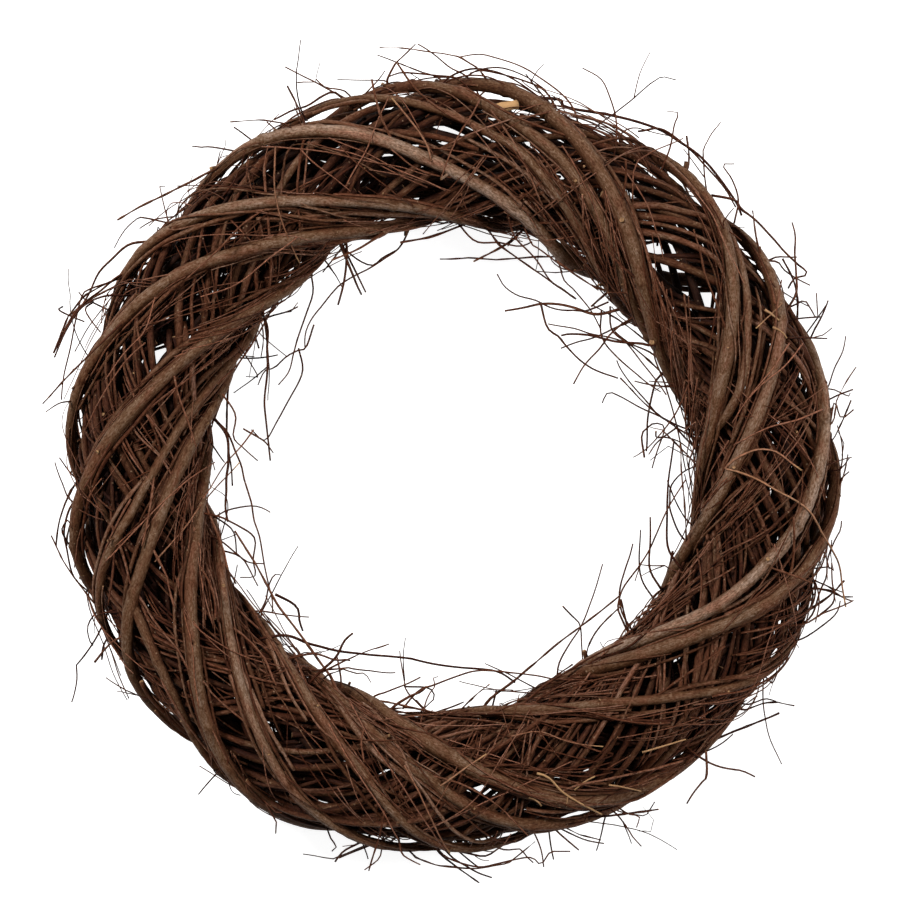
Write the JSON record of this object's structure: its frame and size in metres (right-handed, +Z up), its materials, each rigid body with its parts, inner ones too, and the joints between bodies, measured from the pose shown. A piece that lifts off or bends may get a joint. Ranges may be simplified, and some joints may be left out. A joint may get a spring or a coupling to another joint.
{
  "type": "wreath",
  "caption": "Round decorative wreath of bark-covered willow rods wound in layers round an open ring, with fine side shoots left on; lies flat on its back",
  "frame": {"origin": "centre of the wreath's footprint, on the surface that it lies on", "axes": "+Z is up and is the wreath's front, away from the surface; +Y is the picture's up; +X is its right"},
  "size_m": [0.5183, 0.542, 0.0972],
  "materials": {
    "binding_bark": "dull grey-brown willow bark with lenticels, buds and pale cut ends",
    "weaver_bark": "dull brown bark of younger willow rods",
    "inner_bark": "dull dark brown bark in the shade of the outer rods"
  },
  "bodies": {
    "root": {"binding_rod_1": "binding_bark", "binding_rod_2": "binding_bark", "binding_rod_3": "binding_bark", "binding_rod_4": "binding_bark", "binding_rod_5": "binding_bark", "binding_rod_6": "binding_bark", "binding_rod_7": "binding_bark", "core_rod_01": "inner_bark", "core_rod_02": "inner_bark", "core_rod_03": "inner_bark", "core_rod_04": "inner_bark", "inner_rod_01": "inner_bark", "inner_rod_02": "inner_bark", "inner_rod_03": "inner_bark", "inner_rod_04": "inner_bark", "inner_rod_05": "inner_bark", "inner_rod_06": "inner_bark", "inner_rod_07": "inner_bark", "weaver_rod_01": "weaver_bark", "weaver_rod_02": "weaver_bark", "weaver_rod_03": "weaver_bark", "weaver_rod_04": "weaver_bark", "weaver_rod_05": "weaver_bark", "weaver_rod_06": "weaver_bark", "weaver_rod_07": "weaver_bark", "weaver_rod_08": "weaver_bark", "weaver_rod_09": "weaver_bark", "weaver_rod_10": "weaver_bark", "weaver_rod_11": "weaver_bark", "weaver_rod_12": "weaver_bark", "weaver_rod_13": "weaver_bark", "weaver_rod_14": "weaver_bark", "weaver_rod_15": "weaver_bark"}
  },
  "joints": []
}
